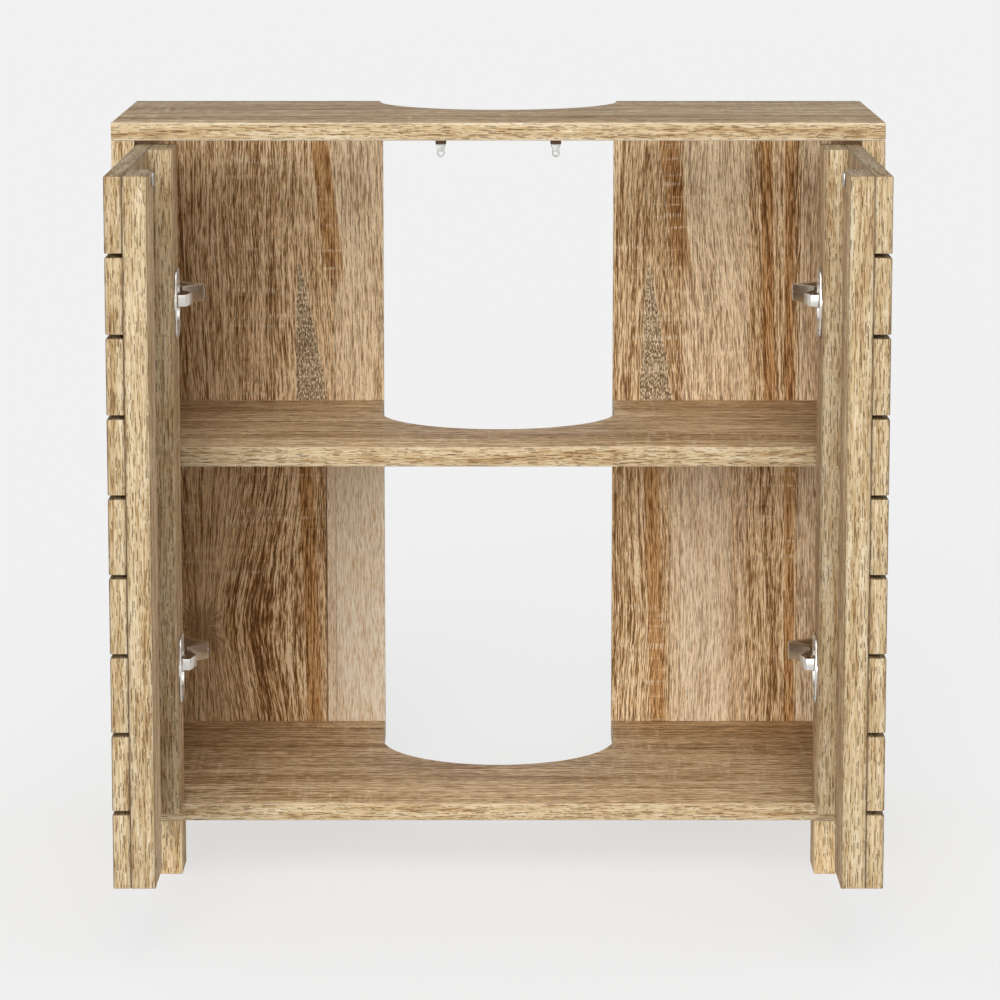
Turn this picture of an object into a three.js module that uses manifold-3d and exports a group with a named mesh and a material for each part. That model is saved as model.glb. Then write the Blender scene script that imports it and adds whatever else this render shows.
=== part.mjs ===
// Sink base cabinet: a carcass of boards on four block feet, open at the back for the pipes, with one shelf and
// two slatted doors on concealed hinges. Both doors stand open at a right angle.
//
// Millimetres, +Z up, front towards -Y. The origin is on the floor, at the middle of the space that the cabinet
// takes up with its doors open.
import * as THREE from "three";
import { mergeVertices } from "three/addons/utils/BufferGeometryUtils.js";
import Module from "manifold-3d";

const wasm = await Module();
wasm.setup();

// ---- Driving sizes ----

// Carcass
const cabinetWidth = 600;
const sideHeight = 526.7;
const sideDepth = 297;
const sideThickness = 18;
const topThickness = 14;
const topDepth = 231;
const bottomThickness = 13.9;
const backThickness = 3;
const backGap = 195;
const footHeight = 43.9;
const footWidth = 48.7;
const footDepth = 40;

// Round-fronted notch for the waste pipe, cut to one template through top, shelf and bottom
const notchRadius = 97.5;

// Shelf and the pins that carry it
const shelfThickness = 15.9;
const shelfHeight = 264.5;
const shelfSetback = 40;
const shelfPinDiameter = 5;
const shelfPinReach = 9;
const shelfPinSunk = 8;
const shelfPinInset = 37;
const pinCollarDiameter = 8;
const pinCollarThickness = 1;

// Doors: nine slats on two battens
const slatCount = 9;
const slatThickness = 13;
const slatGroove = 3;
const battenWidth = 55;
const battenThickness = 18;
const doorGapAbove = 3;
const doorGapBelow = 3.2;
const doorGapAtHinge = 2;
const doorGapInMiddle = 3;

// Line that a door turns about, from the side panel's inner face and from the front of the carcass
const axisFromSide = 5;
const axisBehindFront = 3.6;

// Concealed hinges: cup and link on the door, arm and mounting plate on the side panel
const hingeFromDoorTop = 121.5;
const hingeFromDoorBottom = 110;
const cupDiameter = 35;
const cupDepth = 11.5;
const cupWall = 1.5;
const cupFloor = 1;
const cupFromDoorEdge = 21.5;
const flangeWidth = 34;
const flangeHeight = 54;
const flangeThickness = 1.4;
const flangeCorner = 9;
const linkHeight = 9;
const linkThickness = 1.6;
const linkEyeRadius = 2.2;
const linkPinRadius = 2.5;
const linkPinFromEdge = 9.2;
const linkPinSunk = 1.8;
const linkKneeFromEdge = 9.1;
const linkKneeRise = 5.8;
const linkCrankPastEdge = 6.8;
const linkCrankRise = 9.5;
const armHeight = 13;
const armWall = 1.3;
const armWeb = 1.6;
const armChannelDepth = 7.2;
const armNoseReach = 33.6;
const armCrestReach = 49;
const armCrestDepth = 51.5;
const armCrestLength = 7;
const armTailDepth = 86;
const armTailLength = 24;
const plateHeight = 48;
const plateWidth = 16;
const plateThickness = 2;
const plateInset = 1;
const plateCorner = 5;

// Magnetic catches under the top, and the steel plates on the doors that they hold
const catchFromMiddle = 45;
const catchWidth = 8.4;
const catchBaseHeight = 5.5;
const catchBaseDepth = 14;
const bumperRadius = 3.1;
const bumperDrop = 12.6;
const bumperThickness = 4;
const strikerWidth = 12;
const strikerHeight = 9;
const strikerThickness = 1.2;
const strikerDrop = 9.1;

// Clearances
const fitGap = 0.3; // round a turned piece, a pin in its hole or a cup in its recess
const seatGap = 0.1; // under a metal or plastic fitting that is screwed to a board
const shelfGap = 0.5; // at each end of the loose shelf and behind it
const hingeGap = 1; // between the closed door's fittings and what stays on the cabinet
const cutOverrun = 1; // of a cutting shape past the faces that it opens

// Fineness of round shapes
const notchSegments = 28;
const roundSegments = 32;
const pinSegments = 16;

// ---- Derived places ----
// Depth is measured back from the front of the carcass, and reach inwards from a side panel's inner face.

const innerWidth = cabinetWidth - 2 * sideThickness;
const bodyDepth = sideDepth + backThickness;
const notchCentre = topDepth;

const bottomTop = footHeight + bottomThickness;
const sideTop = bottomTop + sideHeight;
const cabinetTop = sideTop + topThickness;
const shelfBottom = bottomTop + shelfHeight;
const shelfBack = sideDepth - shelfGap;

const doorWidth = (innerWidth - 2 * doorGapAtHinge - doorGapInMiddle) / 2;
const doorThickness = slatThickness + battenThickness;
const doorBottom = bottomTop + doorGapBelow;
const doorTop = sideTop - doorGapAbove;
const slatHeight = (doorTop - doorBottom - (slatCount - 1) * slatGroove) / slatCount;

// An open door's outer face stands at openFace, and its hinge edge at openEdge behind the front of the carcass.
const openFace = axisFromSide - axisBehindFront;
const openEdge = axisFromSide + axisBehindFront - doorGapAtHinge;
const doorReach = doorWidth - openEdge;
const frontPlane = (doorReach - bodyDepth) / 2;

// Reach of a place measured from the door's outer face, and depth of one measured from its hinge edge.
const reachOf = (fromFace) => openFace + fromFace;
const depthOf = (fromEdge) => openEdge - fromEdge;

// Outer face of a hinge arm in plan, from its nose by the closed door to the end of its tail on the plate.
const at = (x, y) => new THREE.Vector2(x, y);
const armTailReach = plateThickness + seatGap + armChannelDepth + armWeb + fitGap;
const armPath = [
  at(armNoseReach, doorThickness + seatGap + flangeThickness + hingeGap),
  at(armCrestReach, armCrestDepth),
  at(armCrestReach, armCrestDepth + armCrestLength),
  at(armTailReach, armTailDepth),
  at(armTailReach, armTailDepth + armTailLength),
];

// ---- Finishes ----

const finishes = {
  oak: { color: 0xb8986c, roughness: 0.6, metalness: 0 },
  backBoard: { color: 0x9c7d55, roughness: 0.7, metalness: 0 },
  nickel: { color: 0xcfcdc8, roughness: 0.28, metalness: 1 },
  steel: { color: 0xb9b9b6, roughness: 0.35, metalness: 1 },
  brownPlastic: { color: 0x5d4430, roughness: 0.5, metalness: 0 },
  clearPlastic: { color: 0xe4e6e4, roughness: 0.2, metalness: 0 },
};

// ---- Shapes ----

// Moves the two ends of a unit-long geometry to an exact span, so that faces which meet agree.
function stretch(geometry, axis, [low, high]) {
  const position = geometry.attributes.position;
  const middle = axis === "z" && geometry.type === "ExtrudeGeometry" ? 0.5 : 0;
  const get = { x: "getX", y: "getY", z: "getZ" }[axis];
  const set = { x: "setX", y: "setY", z: "setZ" }[axis];
  for (let i = 0; i < position.count; i++) {
    position[set](i, position[get](i) > middle ? high : low);
  }
  return geometry;
}

// A square-edged block between three spans.
function block(spanX, spanY, spanZ) {
  const geometry = new THREE.BoxGeometry(1, 1, 1);
  stretch(geometry, "x", spanX);
  stretch(geometry, "y", spanY);
  return stretch(geometry, "z", spanZ);
}

// An outline in plan, raised between two heights.
function prism(outline, spanZ, curveSegments = roundSegments) {
  const settings = { depth: 1, bevelEnabled: false, curveSegments };
  return stretch(new THREE.ExtrudeGeometry(outline, settings), "z", spanZ);
}

// A round bar along Z.
function post(x, y, radius, spanZ, segments = pinSegments) {
  const outline = new THREE.Shape();
  outline.absarc(x, y, radius, 0, 2 * Math.PI, false);
  return prism(outline, spanZ, segments);
}

// A straight bar along X with a round section, centred on y and z.
function barAlongX([low, high], radius, y, z, segments) {
  const bar = new THREE.CylinderGeometry(radius, radius, high - low, segments);
  bar.rotateZ(Math.PI / 2);
  return bar.translate((low + high) / 2, y, z);
}

const solidOf = (geometry) => {
  const bare = geometry.clone().deleteAttribute("normal").deleteAttribute("uv");
  const merged = mergeVertices(bare, 1e-4);
  const triVerts = new Uint32Array(merged.index.array);
  const vertProperties = merged.attributes.position.array;
  return new wasm.Manifold(new wasm.Mesh({ numProp: 3, vertProperties, triVerts }));
};

function geometryOf(solid) {
  const { vertProperties, triVerts } = solid.getMesh();
  const geometry = new THREE.BufferGeometry();
  geometry.setAttribute("position", new THREE.BufferAttribute(vertProperties, 3));
  geometry.setIndex(new THREE.BufferAttribute(triVerts, 1));
  geometry.computeVertexNormals();
  return geometry;
}

const join = (...pieces) => geometryOf(pieces.map(solidOf).reduce((a, b) => a.add(b)));
const cut = (body, ...tools) => geometryOf(tools.map(solidOf).reduce((a, b) => a.subtract(b), solidOf(body)));

// A board's outline in plan. The notch has straight sides behind its centre and a half-round front.
function notchedOutline(halfWidth, front, back) {
  const outline = new THREE.Shape();
  outline.moveTo(-halfWidth, front);
  outline.lineTo(halfWidth, front);
  outline.lineTo(halfWidth, back);
  if (back > notchCentre) outline.lineTo(notchRadius, back);
  outline.absarc(0, notchCentre, notchRadius, 0, Math.PI, true);
  if (back > notchCentre) outline.lineTo(-notchRadius, back);
  outline.lineTo(-halfWidth, back);
  return outline;
}

// A rectangle with round corners, about the middle of two spans.
function roundedOutline([left, right], [low, high], corner) {
  const outline = new THREE.Shape();
  outline.moveTo(left + corner, low);
  outline.absarc(right - corner, low + corner, corner, -Math.PI / 2, 0, false);
  outline.absarc(right - corner, high - corner, corner, 0, Math.PI / 2, false);
  outline.absarc(left + corner, high - corner, corner, Math.PI / 2, Math.PI, false);
  outline.absarc(left + corner, low + corner, corner, Math.PI, 1.5 * Math.PI, false);
  return outline;
}

// The points of a path moved sideways to its left, with mitred corners.
function offsetPath(path, distance) {
  const directions = path.slice(1).map((point, i) => point.clone().sub(path[i]).normalize());
  return path.map((point, i) => {
    const before = directions[Math.max(i - 1, 0)];
    const after = directions[Math.min(i, directions.length - 1)];
    const mitre = before.clone().add(after).normalize();
    const left = new THREE.Vector2(-mitre.y, mitre.x);
    return point.clone().addScaledVector(left, distance / mitre.dot(after));
  });
}

// The strip between two offsets of a path.
const strip = (path, near, far) =>
  new THREE.Shape([...offsetPath(path, near), ...offsetPath(path, far).reverse()]);

// The path with both of its ends run on by a length.
function runOn(path, length) {
  const [first, second] = path;
  const [last, secondLast] = [path.at(-1), path.at(-2)];
  const start = first.clone().addScaledVector(first.clone().sub(second).normalize(), length);
  const end = last.clone().addScaledVector(last.clone().sub(secondLast).normalize(), length);
  return [start, ...path.slice(1, -1), end];
}

// ---- Assembly ----

// x from the middle of the cabinet, y back from its front, z from the floor.
const cabinet = new THREE.Group();
cabinet.position.y = frontPlane;

function add(group, name, finish, geometry) {
  const mesh = new THREE.Mesh(geometry, new THREE.MeshStandardMaterial(finishes[finish]));
  mesh.name = name;
  group.add(mesh);
}

function addCentreBoards() {
  const half = cabinetWidth / 2;
  const shelfHalf = innerWidth / 2 - shelfGap;
  const top = notchedOutline(half, 0, topDepth);
  const bottom = notchedOutline(half, 0, sideDepth);
  const shelf = notchedOutline(shelfHalf, shelfSetback, shelfBack);
  add(cabinet, "top_panel", "oak", prism(top, [sideTop, cabinetTop], notchSegments));
  add(cabinet, "bottom_panel", "oak", prism(bottom, [footHeight, bottomTop], notchSegments));
  add(cabinet, "shelf", "oak", prism(shelf, [shelfBottom, shelfBottom + shelfThickness], notchSegments));
}

// Depths of the shelf's front and rear pins.
const pinDepths = { front: shelfSetback + shelfPinInset, rear: shelfBack - shelfPinInset };
const pinHeight = shelfBottom - seatGap - shelfPinDiameter / 4;

// A side panel with its blind holes for the shelf pins.
function sidePanel() {
  const panel = block([-sideThickness, 0], [0, sideDepth], [bottomTop, sideTop]);
  const holeRadius = shelfPinDiameter / 2 + fitGap;
  const holes = Object.values(pinDepths).map((depth) =>
    barAlongX([-shelfPinSunk - fitGap, cutOverrun], holeRadius, depth, pinHeight, pinSegments),
  );
  return cut(panel, ...holes);
}

// A pin sunk in the side panel, with a collar against it. Its top is cut flat where the shelf lies on it.
function shelfPin(depth) {
  const radius = shelfPinDiameter / 2;
  const bar = barAlongX([-shelfPinSunk, shelfPinReach], radius, depth, pinHeight, pinSegments);
  const collarSpan = [seatGap, seatGap + pinCollarThickness];
  const collar = barAlongX(collarSpan, pinCollarDiameter / 2, depth, pinHeight, pinSegments);
  const acrossCollar = [depth - pinCollarDiameter, depth + pinCollarDiameter];
  const abovePin = [shelfBottom - seatGap, shelfBottom + pinCollarDiameter];
  const flat = block([seatGap / 2, shelfPinReach + cutOverrun], acrossCollar, abovePin);
  return cut(join(bar, collar), flat);
}

// A hinge cup with its screw flange, at one height on the open door.
function hingeCup(height) {
  const face = reachOf(doorThickness);
  const centre = depthOf(cupFromDoorEdge);
  const mouth = face + seatGap + flangeThickness;
  const outer = barAlongX([face - cupDepth, mouth], cupDiameter / 2, centre, height, roundSegments);
  const hollowRadius = cupDiameter / 2 - cupWall;
  const hollowSpan = [face - cupDepth + cupFloor, mouth + cutOverrun];
  const hollow = barAlongX(hollowSpan, hollowRadius, centre, height, roundSegments);
  const acrossFlange = [centre - flangeWidth / 2, centre + flangeWidth / 2];
  const upFlange = [height - flangeHeight / 2, height + flangeHeight / 2];
  const flangeOutline = roundedOutline(acrossFlange, upFlange, flangeCorner);
  const flange = prism(flangeOutline, [face + seatGap, mouth], pinSegments / 4);
  return cut(join(outer, standUp(flange)), hollow);
}

// Turns a plate drawn in plan, with its thickness up, so that its thickness lies along X.
function standUp(plate) {
  const position = plate.attributes.position;
  for (let i = 0; i < position.count; i++) {
    position.setXYZ(i, position.getZ(i), position.getX(i), position.getY(i));
  }
  return plate;
}

// The link: a cranked strip that turns on a pin in the cup. With the door open it bridges the door's edge, and
// its eye lies against the nose of the arm.
function hingeLink(height) {
  const pin = at(reachOf(doorThickness - linkPinSunk), depthOf(linkPinFromEdge));
  const knee = at(reachOf(doorThickness + linkKneeRise), depthOf(linkKneeFromEdge));
  const crank = at(reachOf(doorThickness + linkCrankRise), depthOf(-linkCrankPastEdge));
  const [nose, crest] = armPath;
  const alongNose = crest.clone().sub(nose).normalize();
  const outOfNose = at(alongNose.y, -alongNose.x);
  const eye = nose.clone().addScaledVector(outOfNose, linkEyeRadius + fitGap);
  const spanZ = [height - linkHeight / 2, height + linkHeight / 2];
  const path = [pin, knee, crank, eye];
  const strap = prism(strip(path, -linkThickness / 2, linkThickness / 2), spanZ);
  return join(strap, post(pin.x, pin.y, linkPinRadius, spanZ), post(eye.x, eye.y, linkEyeRadius, spanZ));
}

// The arm: a folded channel that reaches from the mounting plate to a crest and down to its nose by the door.
function hingeArm(height) {
  const channel = prism(strip(armPath, 0, armChannelDepth), [height - armHeight / 2, height + armHeight / 2]);
  const inside = armHeight / 2 - armWall;
  const hollowStrip = strip(runOn(armPath, cutOverrun), armWeb, armChannelDepth + cutOverrun);
  return cut(channel, prism(hollowStrip, [height - inside, height + inside]));
}

// The mounting plate: two screw wings, and a rail that fills the tail of the arm.
function mountingPlate(height) {
  const railHalf = armHeight / 2 - armWall - fitGap;
  const railSpan = [armTailDepth + fitGap, armTailDepth + armTailLength];
  const rail = block([seatGap, armTailReach - armWeb - fitGap], railSpan, [height - railHalf, height + railHalf]);
  const wingSpan = [railSpan[0] + plateInset, railSpan[0] + plateInset + plateWidth];
  const upWings = [height - plateHeight / 2, height + plateHeight / 2];
  const wings = prism(roundedOutline(wingSpan, upWings, plateCorner), [seatGap, seatGap + plateThickness], 3);
  return join(rail, standUp(wings));
}

// A door opened to a right angle: slats over two battens, with its striker plate.
function addDoor(group, hand, hingeHeights) {
  const slatSpan = [reachOf(0), reachOf(slatThickness)];
  const battenSpan = [reachOf(slatThickness), reachOf(doorThickness)];
  const wholeWidth = [depthOf(doorWidth), depthOf(0)];
  for (let i = 0; i < slatCount; i++) {
    const low = doorBottom + i * (slatHeight + slatGroove);
    const high = i === slatCount - 1 ? doorTop : low + slatHeight;
    add(group, `${hand}_door_slat_${i + 1}`, "oak", block(slatSpan, wholeWidth, [low, high]));
  }

  const upDoor = [doorBottom, doorTop];
  const hingeBatten = block(battenSpan, [depthOf(battenWidth), depthOf(0)], upDoor);
  const freeBatten = block(battenSpan, [depthOf(doorWidth), depthOf(doorWidth - battenWidth)], upDoor);
  const face = reachOf(doorThickness);
  const recesses = Object.values(hingeHeights).map((height) =>
    barAlongX(
      [face - cupDepth - fitGap, face + cutOverrun],
      cupDiameter / 2 + fitGap,
      depthOf(cupFromDoorEdge),
      height,
      roundSegments,
    ),
  );
  add(group, `${hand}_door_hinge_batten`, "oak", cut(hingeBatten, ...recesses));
  add(group, `${hand}_door_free_batten`, "oak", freeBatten);

  const strikerFromEdge = innerWidth / 2 - catchFromMiddle - doorGapAtHinge;
  const alongDoor = [depthOf(strikerFromEdge + strikerWidth / 2), depthOf(strikerFromEdge - strikerWidth / 2)];
  const strikerMiddle = sideTop - strikerDrop;
  const upStriker = [strikerMiddle - strikerHeight / 2, strikerMiddle + strikerHeight / 2];
  const striker = block([face + seatGap, face + seatGap + strikerThickness], alongDoor, upStriker);
  add(group, `${hand}_striker_plate`, "steel", striker);
}

// A catch under the top, just behind the closed door: a base and the clear bumper that hangs from it.
function addCatch(group, hand) {
  const reach = innerWidth / 2 - catchFromMiddle;
  const front = doorThickness + seatGap + strikerThickness + fitGap;
  const baseBottom = sideTop - catchBaseHeight;
  const acrossBase = [reach - catchWidth / 2, reach + catchWidth / 2];
  const base = block(acrossBase, [front, front + catchBaseDepth], [baseBottom, sideTop - seatGap]);
  add(group, `${hand}_catch_base`, "brownPlastic", base);

  const tip = sideTop - bumperDrop;
  const outline = new THREE.Shape();
  outline.moveTo(reach + catchWidth / 2, baseBottom - seatGap);
  outline.lineTo(reach - catchWidth / 2, baseBottom - seatGap);
  outline.absarc(reach, tip, bumperRadius, Math.PI, 2 * Math.PI, false);
  const bumper = prism(outline, [0, bumperThickness], pinSegments);
  const position = bumper.attributes.position;
  for (let i = 0; i < position.count; i++) {
    position.setXYZ(i, position.getX(i), front + bumperThickness - position.getZ(i), position.getY(i));
  }
  add(group, `${hand}_catch_bumper`, "clearPlastic", bumper);
}

// One half of the cabinet, drawn as the left one: x inwards from the side panel's inner face.
function addHalf(hand) {
  const half = new THREE.Group();
  half.scale.x = hand === "left" ? 1 : -1;
  const group = new THREE.Group();
  group.position.x = -innerWidth / 2;
  half.add(group);
  cabinet.add(half);

  const backSpan = [-sideThickness, innerWidth / 2 - backGap / 2];
  add(group, `${hand}_side_panel`, "oak", sidePanel());
  add(group, `${hand}_back_panel`, "backBoard", block(backSpan, [sideDepth, bodyDepth], [footHeight, sideTop]));

  const footSpan = [-sideThickness, footWidth - sideThickness];
  const footDepths = { front: [0, footDepth], rear: [sideDepth - footDepth, sideDepth] };
  for (const [place, span] of Object.entries(footDepths)) {
    add(group, `${place}_${hand}_foot`, "oak", block(footSpan, span, [0, footHeight]));
  }
  for (const [place, depth] of Object.entries(pinDepths)) {
    add(group, `${place}_${hand}_shelf_pin`, "steel", shelfPin(depth));
  }

  const hingeHeights = { upper: doorTop - hingeFromDoorTop, lower: doorBottom + hingeFromDoorBottom };
  addDoor(group, hand, hingeHeights);
  addCatch(group, hand);
  for (const [place, height] of Object.entries(hingeHeights)) {
    const hinge = `${hand}_${place}_hinge`;
    add(group, `${hinge}_cup`, "nickel", hingeCup(height));
    add(group, `${hinge}_link`, "nickel", hingeLink(height));
    add(group, `${hinge}_arm`, "nickel", hingeArm(height));
    add(group, `${hinge}_mounting_plate`, "nickel", mountingPlate(height));
  }
}

addCentreBoards();
addHalf("left");
addHalf("right");

const sinkBaseCabinet = new THREE.Group();
sinkBaseCabinet.add(cabinet);

export default sinkBaseCabinet;
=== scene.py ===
# Sink base cabinet: oak-print boards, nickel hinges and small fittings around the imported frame.
# Metres, +Z up, the front towards -Y. Both doors stand open at a right angle.
import math
from typing import NamedTuple
import bmesh
import bpy
from mathutils import Matrix, Vector


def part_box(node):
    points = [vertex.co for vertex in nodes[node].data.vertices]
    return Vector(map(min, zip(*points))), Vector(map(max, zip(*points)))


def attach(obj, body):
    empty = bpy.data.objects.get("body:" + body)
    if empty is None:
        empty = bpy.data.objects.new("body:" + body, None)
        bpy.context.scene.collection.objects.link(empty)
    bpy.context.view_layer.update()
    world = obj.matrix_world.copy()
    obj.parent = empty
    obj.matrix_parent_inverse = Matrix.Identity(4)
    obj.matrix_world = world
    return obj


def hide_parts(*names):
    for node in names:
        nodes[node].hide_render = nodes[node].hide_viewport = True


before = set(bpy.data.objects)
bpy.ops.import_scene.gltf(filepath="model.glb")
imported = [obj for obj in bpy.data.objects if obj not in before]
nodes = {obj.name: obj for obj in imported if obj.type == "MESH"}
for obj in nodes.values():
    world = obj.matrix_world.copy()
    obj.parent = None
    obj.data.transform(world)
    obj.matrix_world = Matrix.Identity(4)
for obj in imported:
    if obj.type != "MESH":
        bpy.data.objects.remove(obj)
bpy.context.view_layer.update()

MM = 0.001
HANDS = {"left": -1, "right": 1}
ENDS = {"upper": 1, "lower": -1}
SLATS = range(1, 10)


def srgb(red, green, blue, level=1.0):
    """A linear colour from 8-bit sRGB values, times a level, up to where its brightest channel is full."""
    def linear(value):
        part = value / 255
        return part / 12.92 if part <= 0.04045 else ((part + 0.055) / 1.055) ** 2.4
    parts = [linear(value) for value in (red, green, blue)]
    level = min(level, 1.0 / max(parts))
    return tuple(part * level for part in parts) + (1.0,)


# ---- Node trees ----

class Nodes:
    """Builds the node tree of one material."""

    def __init__(self, name):
        self.material = bpy.data.materials.new(name)
        self.material.use_nodes = True
        self.tree = self.material.node_tree
        self.tree.nodes.clear()

    def add(self, kind, inputs=None, **settings):
        node = self.tree.nodes.new("ShaderNode" + kind)
        for key, value in settings.items():
            setattr(node, key, value)
        for key, value in (inputs or {}).items():
            self.feed(node.inputs[key], value)
        return node

    def feed(self, socket, value):
        if isinstance(value, bpy.types.NodeSocket):
            self.tree.links.new(value, socket)
        else:
            socket.default_value = value

    def math(self, operation, *values, clamp=False):
        node = self.add("Math", dict(enumerate(values)), operation=operation, use_clamp=clamp)
        return node.outputs[0]

    def plus(self, a, b):
        return self.math("ADD", a, b)

    def minus(self, a, b):
        return self.math("SUBTRACT", a, b)

    def times(self, first, *others):
        for other in others:
            first = self.math("MULTIPLY", first, other)
        return first

    def scaled(self, value, factor, start):
        """The value times a factor, added to a start."""
        return self.math("MULTIPLY_ADD", value, factor, start)

    def size(self, value):
        return self.math("ABSOLUTE", value)

    def above(self, value, low, high):
        """0 below low, 1 above high, smooth between."""
        inputs = {"Value": value, "From Min": low, "From Max": high}
        return self.add("MapRange", inputs, interpolation_type="SMOOTHSTEP").outputs["Result"]

    def below(self, value, low, high):
        """1 below low, 0 above high, smooth between."""
        return self.minus(1.0, self.above(value, low, high))

    def vector(self, x, y, z):
        return self.add("CombineXYZ", {0: x, 1: y, 2: z}).outputs[0]

    def noise(self, vector, detail=2.0, roughness=0.5):
        inputs = {"Vector": vector, "Scale": 1.0, "Detail": detail, "Roughness": roughness}
        return self.add("TexNoise", inputs).outputs["Fac"]

    def ramp(self, value, stops):
        node = self.add("ValToRGB", {"Fac": value})
        ramp = node.color_ramp
        while len(ramp.elements) < len(stops):
            ramp.elements.new(0.5)
        for element, (position, colour) in zip(ramp.elements, stops):
            element.position = position
            element.color = colour
        return node.outputs["Color"]

    def mix(self, factor, a, b, blend="MIX"):
        node = self.add("Mix", data_type="RGBA", blend_type=blend)
        self.feed(node.inputs[0], factor)
        self.feed(node.inputs[6], a)
        self.feed(node.inputs[7], b)
        return node.outputs[2]

    def tinted(self, colour, tint):
        return self.mix(1.0, colour, tint, blend="MULTIPLY")

    def bump(self, height, distance, strength):
        inputs = {"Height": height, "Distance": distance, "Strength": strength}
        return self.add("Bump", inputs).outputs["Normal"]

    def finish(self, **inputs):
        shader = self.add("BsdfPrincipled")
        for key, value in inputs.items():
            self.feed(shader.inputs[key.replace("_", " ")], value)
        output = self.add("OutputMaterial")
        self.tree.links.new(shader.outputs["BSDF"], output.inputs["Surface"])
        return self.material


# ---- Printed oak: colours and measures ----

# Ramps from dark to pale: board faces, and the edge strips, which are paler
FACE_STOPS = ((0.14, (94, 65, 35)), (0.34, (140, 107, 68)), (0.50, (175, 143, 103)),
              (0.66, (202, 176, 138)), (0.86, (229, 209, 175)))
EDGE_STOPS = ((0.16, (146, 112, 70)), (0.36, (192, 160, 114)), (0.52, (214, 188, 146)),
              (0.70, (230, 208, 170)), (0.90, (242, 226, 194)))
SPIKE_GREY = (206, 190, 160)
SPIKE_DARK = (84, 66, 44)
PLANK_PALE = (230, 220, 200)
PLANK_DARK = (176, 148, 112)
KNOT_DARK = (92, 64, 36)
SAW_PALE = (236, 218, 184)
# A painted highlight for the rounded board edges
ARRIS_HIGHLIGHT = (246, 232, 206)
# Painted shade for the grooves between door slats and battens, laid on their rounded edges
GROOVE_SHADE = (96, 82, 66)
PORE = (74, 46, 24)
WARM_TINT = (0.76, 0.60, 0.43, 1.0)

# Pitches: cycles per metre along the grain and across it
DRIFT_PITCH = (3.0, 7.0)
BAND_PITCH = (1.8, 38.0)
STREAK_PITCH = (8.0, 210.0)
BEND_PITCH = (70.0, 90.0)
SPECK_PITCH = (330.0, 1000.0)
SAW_PITCH = (210.0, 12.0)
SAW_PATCH_PITCH = (6.0, 8.0)
EDGE_BAND_PITCH = (9.0, 190.0)
RING_PITCH = 120.0
LAYER_PITCH = 14.0
EDGE_LAYER_PITCH = 9.0
# Cycles per radian round a knot and per metre out from it
RAY_PITCH = (5.0, 30.0)

# Tones run from 0, dark, to 1, pale. Each layer moves the tone by its weight.
FACE_TONE = 0.53
BAND_WEIGHT = 0.62
STREAK_WEIGHT = 0.70
STROKE_WEIGHT = 2.50
LINE_WEIGHT = 1.30
LATE_WOOD_WEIGHT = -0.20
PLANK_WEIGHT = 0.60
EDGE_TONE = 0.53
EDGE_BAND_WEIGHT = 0.90
EDGE_STROKE_WEIGHT = 1.35

# How much of each layer's colour covers what lies under it
PLANK_COVER = 2.5
SEAM_COVER = 2.6
WARM_COVER = 0.3
SPIKE_COVER = 0.8
SAW_COVER = 0.80
KNOT_COVER = 0.5
FACE_PORE_COVER = 0.50
EDGE_PORE_COVER = 0.70

# Where a noise, from 0 to 1, turns from one thing into another
STROKE_EDGES_ON_PLANK = (0.34, 0.57)
DARK_BAND_EDGES = (0.32, 0.44)
SPECK_EDGES = (0.44, 0.66)
SAW_EDGES = (0.54, 0.66)
SAW_PATCH_EDGES = (0.47, 0.57)
SAW_BREAK_EDGES = (0.46, 0.60)

# In cells of the pores: the least half length, what chance adds to it, and the edges at end and side
DASH_HALF_LENGTH = 0.08
DASH_EXTRA_LENGTH = 0.34
DASH_END_EDGES = (-0.05, 0.03)
DASH_SIDE_EDGES = (0.06, 0.20)

STROKE_ROUGHNESS = 0.62
# How far the grain wanders, wavers and frays
DRIFT = 30 * MM
STROKE_BEND = 1.2 * MM
SEAM_WAVER = 0.8 * MM
SPIKE_FRAY = 4 * MM

# Round a knot: how strongly the grain parts, how fast that fades, and how flat the rings and the core are
KNOT_BEND = 2.6
KNOT_BEND_FADE = 0.6
KNOT_BEND_FLATNESS = 0.42
KNOT_CORE_FLATNESS = 0.8

# In radii of a knot: how ragged its core is, and the edges of the core
RAY_REACH = 3.4
RAY_START = -0.7
KNOT_CORE_EDGES = (-0.5, 0.4)

# How fast the arches fade away from their core, per metre, and how the noise under the strokes drifts
ARCH_FADE = -16.0
LEAF_LEAN = -0.10
# How the rings are shaken, and how narrow their dark ends are
SHAKE_BY_STREAKS = 0.5
SHAKE_BY_BANDS = 2.4
LATE_WOOD_POWER = 5.0

# Half widths of soft edges, and how far from its middle a seam fades
PLANK_EDGE = 0.4 * MM
SEAM_EDGES = (0.3 * MM, 0.8 * MM)
STRIPE_EDGE = 1 * MM
STRIPE_FOOT_FADE = 20 * MM
STRIPE_HEAD_FADE = 10 * MM
SPIKE_EDGE = 0.6 * MM
SPIKE_FOOT_FADE = 10 * MM

PORES_LOST_ON_PLANK = -0.7
PORE_DEPTH = -0.8
OAK_RELIEF = 0.14 * MM
OAK_RELIEF_SHARE = 0.6
OAK_ROUGHNESS = 0.66
OAK_GLOSS_OF_HEIGHT = -0.12
OAK_SPECULAR = 0.15

# Cosines between a normal and the board's axes, where faces, ends and rounded edges begin and end. The
# rounded edges carry painted light: a highlight, and on the door pieces shade.
FACE_FROM = (0.80, 0.97)
END_FROM = 0.72
PAINTED_ARRIS_FROM = (0.10, 0.35)
PAINTED_ARRIS_TO = (0.88, 0.98)


class Knot(NamedTuple):
    """A knot's place along the grain and across it, and its radius."""
    along: float
    across: float
    radius: float


class Plank(NamedTuple):
    """A pale plank: its start and end across the grain, and its top. A dark seam lies at its start."""
    start: float
    end: float
    top: float
    paleness: float


class Stripe(NamedTuple):
    """A warm brown stripe: its middle at its head, its lean, its half width, and its foot and head."""
    middle: float
    lean: float
    half: float
    foot: float
    head: float


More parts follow.
